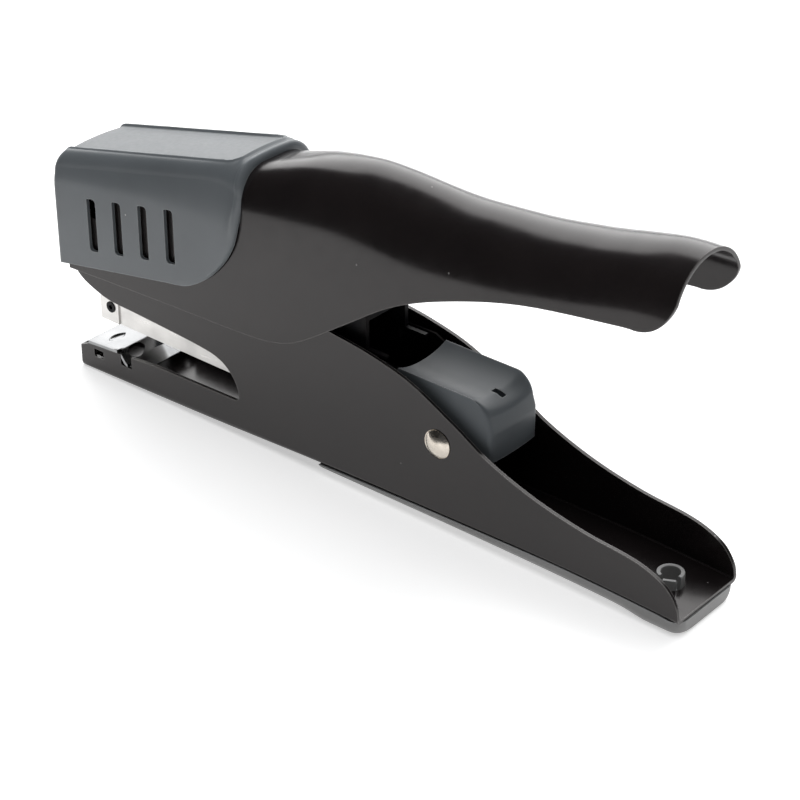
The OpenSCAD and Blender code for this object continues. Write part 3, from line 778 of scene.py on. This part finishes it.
# How far the outline reaches below the underside, which the trough shapes
BELOW = 6


def frame_outline():
    """Side view of the frame's walls, running past the underside."""
    back = curve(FRAME_BACK, 8)
    head = arc(PIN[0], PIN[1], HEAD_R, 60, 180, 14)
    low = [(x, z - BELOW) for x, z in BOTTOM_LINE]
    front = rounded([(-3, -BELOW), (-3, 5.6), (-2.7, 6.1)], (0, 0.8, 0))
    return low + back + head + [(-2.5, 41)] + curve(THROAT, 8) + THROAT_END + JAW_TOP + front[::-1]


def frame_channel():
    """Pressed channel: lower jaw, head and lower handle in one sheet."""
    obj = trough("frame_body", 0, -3, REAR_END + 1, FRAME_BEND, JAW_CORNER)
    bend, corner = FRAME_BEND - FRAME_T, JAW_CORNER - FRAME_T
    combine(obj, trough("inside", FRAME_T, FRAME_T - 3, REAR_END + 6, bend, corner))
    combine(obj, prism("outline", frame_outline(), -CUT, CUT), "INTERSECT")
    # The open front of the head, the notches for the anvil's tabs, and the sight holes under the anvil
    combine(obj, block(-4, 2, -FRAME_HW + FRAME_T, FRAME_HW - FRAME_T, 15, 70))
    combine(obj, prism("tab_notch", rounded(TAB_NOTCH, (0.4, 0.4, 0, 0)), -CUT, CUT))
    combine(obj, block(*SIGHT_HOLE_X, -CUT, CUT, *SIGHT_HOLE_Z))
    for x in POST_X:
        combine(obj, rod(POST_R + POST_PLAY, (x, 0, 0), (0, 0, 1), -2, 12))
    for x, z, r in (PIN, REAR_RIVET):
        combine(obj, rod(r, (x, 0, z), (0, 1, 0), -CUT, CUT, 32))
    merge_flats(obj)
    soften(obj, 0.25, 2, 40)
    keep(obj, "frame", PAINT, "black_steel", "frame_channel")


# ---- Grip cover ----------------------------------------------------------------------------

COVER_UNDER = curve([
    (80, 2.9), (81.5, 2.1), (104, 2), (127, 1.9), (158, 1.4), (167, 1), (174, 0), (181.5, 0), (183.3, 0.8),
])
COVER_END = 183.3
COVER_LIP = 2.8
COVER_CORNER = 3.4
# How high its lips stand against the frame's bends, and the play between them
COVER_RISE = [(80, 0), (110, 0.2), (150, 0.4), (178, 0.4), (183, 0.05)]
COVER_PLAY = 0.03


def cover_row(x):
    """A section of the cover: rounded below, with lips that wrap the frame's lower bends."""
    inside = COVER_END - x
    w = FRAME_HW - roll(inside, COVER_CORNER)
    top = at(BOTTOM_LINE, x) - COVER_PLAY
    low = max(0, min(at(COVER_UNDER, x), top - 0.35))
    r = min(COVER_LIP, (top - low) * 0.8)
    rise = at(COVER_RISE, x)
    lower = [(w - r + y, z) for y, z in arc(0, low + r, r, 0, -90, 8)]
    bend = FRAME_BEND + COVER_PLAY
    wrap = []
    for share in spread(1, 0, 6):
        z = rise * share
        inward = FRAME_HW - bend + math.sqrt(max(0, bend**2 - (bend - z) ** 2))
        wrap.append((min(inward, w - 0.06), top + z))
    half = wrap[::-1] + [(w, top + rise)] + lower
    return [(x, y, z) for y, z in half] + [(x, -y, z) for y, z in half[::-1]]


# Split post: its bore, foot and top, the way its opening faces and half the opening, in degrees
POST_BORE_R = 2.15
POST_Z = (2.4, 7.8)
POST_FACE = -62
POST_GAP = 52
# How much of the wall's thickness is left at the rim
POST_RIM = 0.7
# The well in the cover under each post
WELL_R = 1.9
WELL_Z = 3.2


def split_post(x):
    """A ring open on one side, with a springy tongue in the opening."""
    low, high = POST_Z
    start, end = POST_FACE + POST_GAP, POST_FACE + 360 - POST_GAP
    mid = (POST_R + POST_BORE_R) / 2
    half = (POST_R - POST_BORE_R) / 2
    rows = []
    for z, share in ((low, 1), (high - 0.3, 1), (high, POST_RIM)):
        ring = arc(x, 0, mid + half * share, start, end, 28) + arc(x, 0, mid - half * share, end, start, 28)
        rows.append([(px, py, z) for px, py in ring])
    wall = grid("post", rows, closed=True)
    peak = high - 0.7
    side = [(-1.6, low), (1.6, low), (1.6, peak - 0.3), (1.4, peak), (-1.4, peak), (-1.6, peak - 0.3)]
    turn = Matrix.Rotation(math.radians(POST_FACE), 2)
    rows = []
    for reach in (2.1, 2.9, 3.2):
        row = []
        for across_y, z in side:
            back = 0.4 if reach > 3 and z > peak - 0.2 else 0
            p = turn @ Vector((reach - back, across_y))
            row.append((x + p.x, p.y, z))
        rows.append(row)
    combine(wall, grid("tongue", rows, closed=True), "UNION")
    return wall


def grip_cover():
    """Moulded cover under the lower handle, with its split posts."""
    xs = [80, 80.6] + spread(82, 178, 70)
    xs += [COVER_END - COVER_CORNER * (1 - math.sin(a)) for a in spread(0, 1.5, 12)]
    obj = grid("lower_grip", [cover_row(x) for x in xs], closed=True)
    for x in POST_X:
        combine(obj, rod(WELL_R, (x, 0, WELL_Z), (0, 0, 1), 0, 12, 32))
        combine(obj, split_post(x), "UNION")
    soften(obj, 0.22, 2, 40)
    keep(obj, "frame", COVER_PLASTIC_LIT, "grey_plastic", "grip_cover")


# ---- Anvil ---------------------------------------------------------------------------------

ANVIL_T = 0.784
ANVIL_TAB = 14.8
ANVIL_CORNERS = [(0.6, 8.4), (12.2, 9.3), (14.3, 6.7), (18, 4.7)]
POCKET_X = 5.4
POCKET_Y = 5.6
POCKET_TOP = 8.78
POCKET_HW = 1.5
POCKET_HL = 2.9
POCKET_DEPTH = 0.66
# Holes in the bend: their middle and their half-width and half-length
SLOT_X = 13.1
SLOT_Y = 6.4
SLOT_HW = 1.25
SLOT_HL = 3.1
# Nicks that set the tabs free, just before them
NICK_X = (11.2, 12.6)


def anvil_line():
    """Side view of the anvil's upper face: flat, one rounded bend down, and a springy tail."""
    a, b, c, d = (Vector(p) for p in ANVIL_CORNERS)
    line = [tuple(a)] + [tuple(a.lerp(b, t)) for t in spread(0.03, 0.93, 34)]
    line += rounded([a, b, c], (0, 0.9, 0), 6)[1:-1] + rounded([b, c, d], (0, 0.8, 0), 6)[1:-1]
    return line + [tuple(c.lerp(d, t)) for t in (0.5, 0.95, 1)]


def pocket(side):
    """Cutter for one leaf-shaped crimp pocket."""
    rows = []
    for t in spread(-0.995, 0.995, 31):
        w = POCKET_HW * (1 - t * t) ** 0.85
        d = POCKET_DEPTH * (1 - t * t) ** 0.5
        y = side * (POCKET_Y + POCKET_HL * t)
        ring = arc(0, 0, 1, 0, 350, 27)
        rows.append([(POCKET_X + w * px, y, POCKET_TOP + (pz * d if pz < 0 else pz)) for px, pz in ring])
    return grid("pocket", rows, closed=True)


def anvil_plate():
    """Chromed anvil with two crimp pockets, holes in its bend, tabs in the walls and a tail."""
    ys = spread(-FRAME_HW, FRAME_HW, 21)
    rows = [[(x, y, z) for y in ys] for x, z in anvil_line()]
    obj = grid("anvil", rows)
    thicken(obj, ANVIL_T)
    inner = FRAME_HW - FRAME_T - 0.25
    slot = [
        (SLOT_X + SLOT_HW * (1 - t * t) * k, SLOT_Y + SLOT_HL * t)
        for k in (1, -1) for t in spread(-k * 0.98, k * 0.98, 12)
    ]
    trims = [[(x0, inner), (x1, inner), (x1, CUT), (x0, CUT)] for x0, x1 in ((ANVIL_TAB, 30), NICK_X)]
    for side in (-1, 1):
        combine(obj, pocket(side))
        for outline in [slot] + trims:
            combine(obj, mirrored_prism(side, outline, 0, CUT))
    soften(obj, 0.16, 2, 40)
    keep(obj, "frame", CHROME, "chrome", "anvil_plate")


# ---- Rivets --------------------------------------------------------------------------------


DOME_R = 3.6
DOME_H = 1.5
# Where the shank ends, clear of the pusher
SHANK_END = 8.78


def dome(side):
    """Domed rivet with a rolled rim, its shank through one wall."""
    r, h, inner = DOME_R, DOME_H, SHANK_END
    ball = (r * r + h * h) / (2 * h)
    crown = []
    for t in spread(0, 1, 14):
        q = r * math.cos(t * math.pi / 2) * 0.985
        crown.append((q, FRAME_HW + h - ball + math.sqrt(ball**2 - q**2)))
    x, z, shank = REAR_RIVET
    seat = FRAME_HW + 0.03
    profile = [(0, inner), (shank, inner), (shank, seat), (r - 0.25, seat), (r, FRAME_HW + 0.2)]
    return lathe("rivet", profile + crown[:-1] + [(0, crown[-1][1])], (x, 0, z), (0, side, 0), 64)


def merge(name, parts):
    """Joins several meshes into the first, as separate solids of one piece."""
    bm = bmesh.new()
    for part in parts:
        bm.from_mesh(part.data)
    first = parts[0]
    bm.to_mesh(first.data)
    bm.free()
    for part in parts[1:]:
        bpy.data.objects.remove(part)
    first.name = name
    return first


def pivot_rivets():
    """The two stub rivets, as one piece."""
    obj = merge("stub_rivets", [dome(-1), dome(1)])
    shade(obj, 45)
    keep(obj, "frame", NICKEL, "nickel", "pivot_rivets")


# ---- Pusher --------------------------------------------------------------------------------

PUSH_X = (102.5, 130)
PUSH_Z = (17, 36.5)
PUSH_REAR_LOW = 21.5
PUSH_HW = 8.6
DISH = 1.7
PUSH_FILLET = 5
PUSH_CORNER = 1.2
PUSH_BOW = 0.5
PUSH_WALL = 1.5
PUSH_FOOT = [(108, 10), (140, 10), (140, PUSH_REAR_LOW), (108, PUSH_REAR_LOW), (106, 17)]
PUSH_HOLLOW = [(104.5, 10), (104.5, 33), (121, 33), (124, 30), (125.5, 10)]
SIGHT_SLOT_X = (123.2, 126.4)
SIGHT_SLOT_HW = 0.8
ROD_Z = 18.1
ROD_HOLE_R = 1


def pusher_path():
    """Side view of the front, top and rear: points, each with whether it lies on the front."""
    x0, x1 = PUSH_X
    low, top = PUSH_Z
    rear = arc(x1 - 0.9 - PUSH_FILLET, top - PUSH_FILLET, PUSH_FILLET, 90, 6, 16)
    rear += [(x1 - 0.12, z) for z in spread(top - PUSH_FILLET - 2, PUSH_REAR_LOW, 7)]
    path = [(x0, z, True) for z in spread(low, top, 8)]
    path += [(x, top, False) for x in spread(x0 + 0.1, rear[0][0] - 0.5, 18)]
    return path + [(x, z, False) for x, z in rear]


def pusher_sheet():
    """Rows of points across the front, the dished top and the bowed rear."""
    x1 = PUSH_X[1]
    top = PUSH_Z[1]
    path = pusher_path()
    ys = spread(-1, -0.8, 9) + spread(-0.76, 0.76, 23) + spread(0.8, 1, 9)
    rows = []
    for i, (x, z, front) in enumerate(path):
        before, after = path[max(i - 1, 0)], path[min(i + 1, len(path) - 1)]
        normal = Vector((before[1] - after[1], after[0] - before[0])).normalized()
        fade = between(0, (z - top + 4.5) / 4.5, 1)
        if front:
            fade = 1 if z == top else 0
            normal = Vector((0, 1))
        fade = fade**2 * (3 - 2 * fade)
        behind = between(0, (x - 121) / (x1 - 122), 1)
        row = []
        for v in ys:
            dip = DISH * (1 - abs(v) ** 2.3) * fade
            bow = (PUSH_BOW * v * v + roll((1 - abs(v)) * PUSH_HW, PUSH_CORNER)) * behind
            row.append((x - bow - normal.x * dip, PUSH_HW * v, z - dip * normal.y))
        rows.append(row)
    return rows


def pusher_cap():
    """Moulded thumb piece with a dished top that runs out in a full rear edge."""
    rows = pusher_sheet()
    count = len(rows[0])
    last = len(rows) - 1
    verts = [p for row in rows for p in row]
    faces = [
        (i * count + j, (i + 1) * count + j, (i + 1) * count + j + 1, i * count + j + 1)
        for i in range(last) for j in range(count - 1)
    ]
    # Both sides, and the underside
    faces += [tuple(i * count + j for i in range(last + 1)) for j in (0, count - 1)]
    faces += [tuple(range(count)) + tuple(last * count + j for j in range(count - 1, -1, -1))]
    obj = face_outwards(new_object("thumb_piece", verts, faces))
    inside = PUSH_HW - PUSH_WALL
    combine(obj, prism("rear_foot", PUSH_FOOT, -CUT, CUT))
    combine(obj, prism("hollow", PUSH_HOLLOW, -inside, inside))
    combine(obj, block(*SIGHT_SLOT_X, -SIGHT_SLOT_HW, SIGHT_SLOT_HW, 28, 60))
    combine(obj, rod(ROD_HOLE_R, (PUSH_X[0], 0, ROD_Z), (1, 0, 0), -2, 4, 32))
    soften(obj, 0.4, 3, 50)
    keep(obj, "pusher", THUMB_PLASTIC, "grey_plastic", "pusher_cap")


# ---- Springs and staples -------------------------------------------------------------------


def helix(centre, axis, r, wire_r, length, turns, steps=20):
    """Path of a coil spring whose end turns lie flat."""
    turn = Vector((0, 0, 1)).rotation_difference(Vector(axis)).to_matrix()
    path = []
    for i in range(int(turns * steps) + 1):
        t = i / steps
        rise = between(0, (t - 0.5) / (turns - 1), 1)
        height = wire_r + (length - 2 * wire_r) * rise
        a = 2 * math.pi * t
        path.append(tuple(turn @ Vector((r * math.cos(a), r * math.sin(a), height)) + Vector(centre)))
    return path


# Where the arm's coil stands, its seat on the magazine's lid, its upper end under the arm's web
ARM_COIL_X = 60
ARM_COIL_Z = (23.85, 43.95)
ARM_COIL_R = 4.04
ARM_WIRE_R = 0.35
PUSHER_COIL_R = 1.52
PUSHER_WIRE_R = 0.32
PUSHER_TURNS = 26
# Play at each end of the pusher's coil
COIL_PLAY = 0.02
LEAF_LINE = [
    (104, 4.78), (98, 4.63), (90, 4.4), (84, 4.74), (76, 7.2), (68, 11.2), (62, 13.6), (59, 13.92),
    (56, 13.6),
]
LEAF_HW = [(56, 3.6), (60, 4.6), (70, 5.4), (84, 6), (104, 6)]
LEAF_T = 0.46


def arm_coil():
    """Coil between the magazine and the arm."""
    seat, web = ARM_COIL_Z
    path = helix((ARM_COIL_X, 0, seat), (0, 0, 1), ARM_COIL_R, ARM_WIRE_R, web - seat, 8.5)
    obj = wire("arm_coil", path, ARM_WIRE_R)
    obj.data.shade_smooth()
    keep(obj, "arm", SPRING, "spring_steel", "arm_spring")
    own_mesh(obj)


def pusher_coil():
    """Coil on the pusher's rod, as long as the CAD's."""
    low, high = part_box("pusher_spring")
    start = low.x / MM + MID_X + COIL_PLAY
    length = (high.x - low.x) / MM - 2 * COIL_PLAY
    path = helix((start, 0, ROD_Z), (1, 0, 0), PUSHER_COIL_R, PUSHER_WIRE_R, length, PUSHER_TURNS)
    obj = wire("pusher_coil", path, PUSHER_WIRE_R, 8)
    obj.data.shade_smooth()
    keep(obj, "pusher", SPRING, "spring_steel", "pusher_spring")


def lift_leaf():
    """Leaf that lifts the magazine, threaded over the cover's front post."""
    rows = [
        [(x, at(LEAF_HW, x) * v, z + LEAF_T + 0.02) for v in spread(1, -1, 9)]
        for x, z in curve(LEAF_LINE)
    ]
    obj = grid("lift_leaf", rows)
    thicken(obj, LEAF_T)
    combine(obj, rod(POST_R + 0.2, (POST_X[0], 0, 0), (0, 0, 1), 0, 10, 40))
    soften(obj, 0.1, 2, 40)
    keep(obj, "frame", SPRING, "spring_steel", "lift_spring")
    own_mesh(obj)


STAPLE_PITCH = 0.52
STAPLE_WIRE = 0.5
# How far the wires' flanks stand back, which leaves a groove between two staples
STAPLE_GROOVE = 0.05


def staple_bow(half_w, foot, top, bend):
    """Three sides of a staple's outline, with its upper corners bent round."""
    corners = [(-half_w, foot), (-half_w, top), (half_w, top), (half_w, foot)]
    return rounded(corners, (0, bend, bend, 0), 4)


def staple_stick():
    """A stick of bent wire staples, each its own wire."""
    low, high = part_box("staple_stick")
    half_w = high.y / MM
    top = high.z / MM
    foot = low.z / MM
    length = (high.x - low.x) / MM
    first = low.x / MM + MID_X
    ring = staple_bow(half_w, foot, top, 0.7)
    inner = staple_bow(half_w - STAPLE_WIRE, foot, top - STAPLE_WIRE, 0.3)
    outline = ring + inner[::-1]
    count = len(outline)
    verts, faces = [], []
    for i in range(int(length / STAPLE_PITCH)):
        x = first + i * STAPLE_PITCH
        end = x + STAPLE_PITCH
        start = len(verts)
        for px, flank in ((x + 0.02, True), (x + 0.12, False), (end - 0.12, False), (end - 0.02, True)):
            for k, (y, z) in enumerate(outline):
                drop = STAPLE_GROOVE if flank and k < len(ring) else 0
                verts.append((px, y - math.copysign(drop, y), z - drop * (z > foot + 1)))
        for row in range(3):
            for k in range(count):
                a, b = start + row * count + k, start + row * count + (k + 1) % count
                faces.append((a, b, b + count, a + count))
        half = len(ring)
        for row in (0, 3):
            base = start + row * count
            for k in range(half - 1):
                faces.append((base + k, base + k + 1, base + count - 2 - k, base + count - 1 - k))
    obj = face_outwards(new_object("staples", verts, faces))
    shade(obj, 50)
    keep(obj, "magazine", STAPLES, "staple_wire", "staple_stick")


for build in (
    handle_shell, head_cap, frame_channel, grip_cover, anvil_plate, pivot_rivets, pusher_cap,
    arm_coil, pusher_coil, lift_leaf, staple_stick,
):
    build()

# ---- Carried-over CAD nodes ----------------------------------------------------------------

# Widths of the bevels on their edges
EDGES = {"magazine_channel": 0.12, "driver_arm": 0.2, "presser_saddle": 0.3, "magazine_nose": 0.1}
OTHER_EDGES = 0.08

slots = {part["node"]: part["material_slot"] for part in frame["record"]["subparts"]}
for name, obj in frame["nodes"].items():
    obj.data.materials.clear()
    obj.data.materials.append(MATERIALS[slots[name]])
    if obj.hide_render:
        continue
    edge = obj.modifiers.new("edges", "BEVEL")
    edge.width = EDGES.get(name, OTHER_EDGES) * MM
    edge.segments = 2
    edge.limit_method = "ANGLE"
    edge.angle_limit = math.radians(35)
    edge.harden_normals = True

# ---- Floor, light and camera ---------------------------------------------------------------


def sheet(name, corners, mat):
    """One face for the stage, in metres."""
    mesh = bpy.data.meshes.new(name)
    mesh.from_pydata(corners, [], [(0, 1, 2, 3)])
    mesh.materials.append(mat)
    obj = bpy.data.objects.new(name, mesh)
    bpy.context.scene.collection.objects.link(obj)
    return obj


def floor():
    """Plain pale paper that glows a little, as an overexposed studio floor does."""
    half = 4
    white = (1, 1, 1, 1)
    mat = surface(
        "floor_paper", (0.8, 0.8, 0.8), roughness=0.9, Emission_Strength=0.5, Emission_Color=white
    )
    vary_color(mat, noise(mat, 30, 3), "Fac", [(0.2, (0.79, 0.79, 0.79)), (0.8, (0.81, 0.81, 0.81))])
    sheet("floor", [(-half, -half, 0), (half, -half, 0), (half, half, 0), (-half, half, 0)], mat)


def dark_card():
    """A dark card at the front left that shows only in reflections, as a studio flag does."""
    corners = [(-0.42, 0.05, 0), (0.0, -0.2, 0), (0.0, -0.2, 0.4), (-0.42, 0.05, 0.4)]
    obj = sheet("dark_card", corners, surface("card_black", (0.01, 0.01, 0.01), roughness=1.0))
    obj.visible_camera = False
    obj.visible_diffuse = False
    obj.visible_shadow = False


def softbox(name, place_at, look_at, size, power, reflects=True):
    """A rectangular area light. reflects says whether it shows in gloss."""
    light = bpy.data.lights.new(name, "AREA")
    light.shape = "RECTANGLE"
    light.size, light.size_y = size
    light.energy = power
    obj = bpy.data.objects.new(name, light)
    obj.location = place_at
    obj.rotation_euler = (Vector(look_at) - Vector(place_at)).to_track_quat("-Z", "Y").to_euler()
    obj.visible_glossy = reflects
    bpy.context.scene.collection.objects.link(obj)


floor()
dark_card()
softbox("overhead", (0, 0.1, 1.6), (0, 0, 0), (2.2, 2.2), 30, reflects=False)
softbox("backdrop", (-0.7, 1.3, 0.95), (0, 0, 0.05), (2.8, 1.7), 43)

world = bpy.data.worlds.new("studio")
world.use_nodes = True
world.node_tree.nodes["Background"].inputs["Color"].default_value = (0.9, 0.93, 1, 1)
world.node_tree.nodes["Background"].inputs["Strength"].default_value = 0.06
bpy.context.scene.world = world
bpy.context.scene.view_settings.view_transform = "Standard"

AZIMUTH = math.radians(40.331)
ELEVATION = math.radians(30.367)
LENS = 103.25
CAMERA_AT = (0.306065, -0.352453, 0.292595)

back = Vector((
    math.sin(AZIMUTH) * math.cos(ELEVATION), -math.cos(AZIMUTH) * math.cos(ELEVATION), math.sin(ELEVATION)
))
camera = bpy.data.objects.new("camera", bpy.data.cameras.new("camera"))
camera.data.lens = LENS
camera.location = CAMERA_AT
camera.rotation_euler = (-back).to_track_quat("-Z", "Y").to_euler()
bpy.context.scene.collection.objects.link(camera)
bpy.context.scene.camera = camera
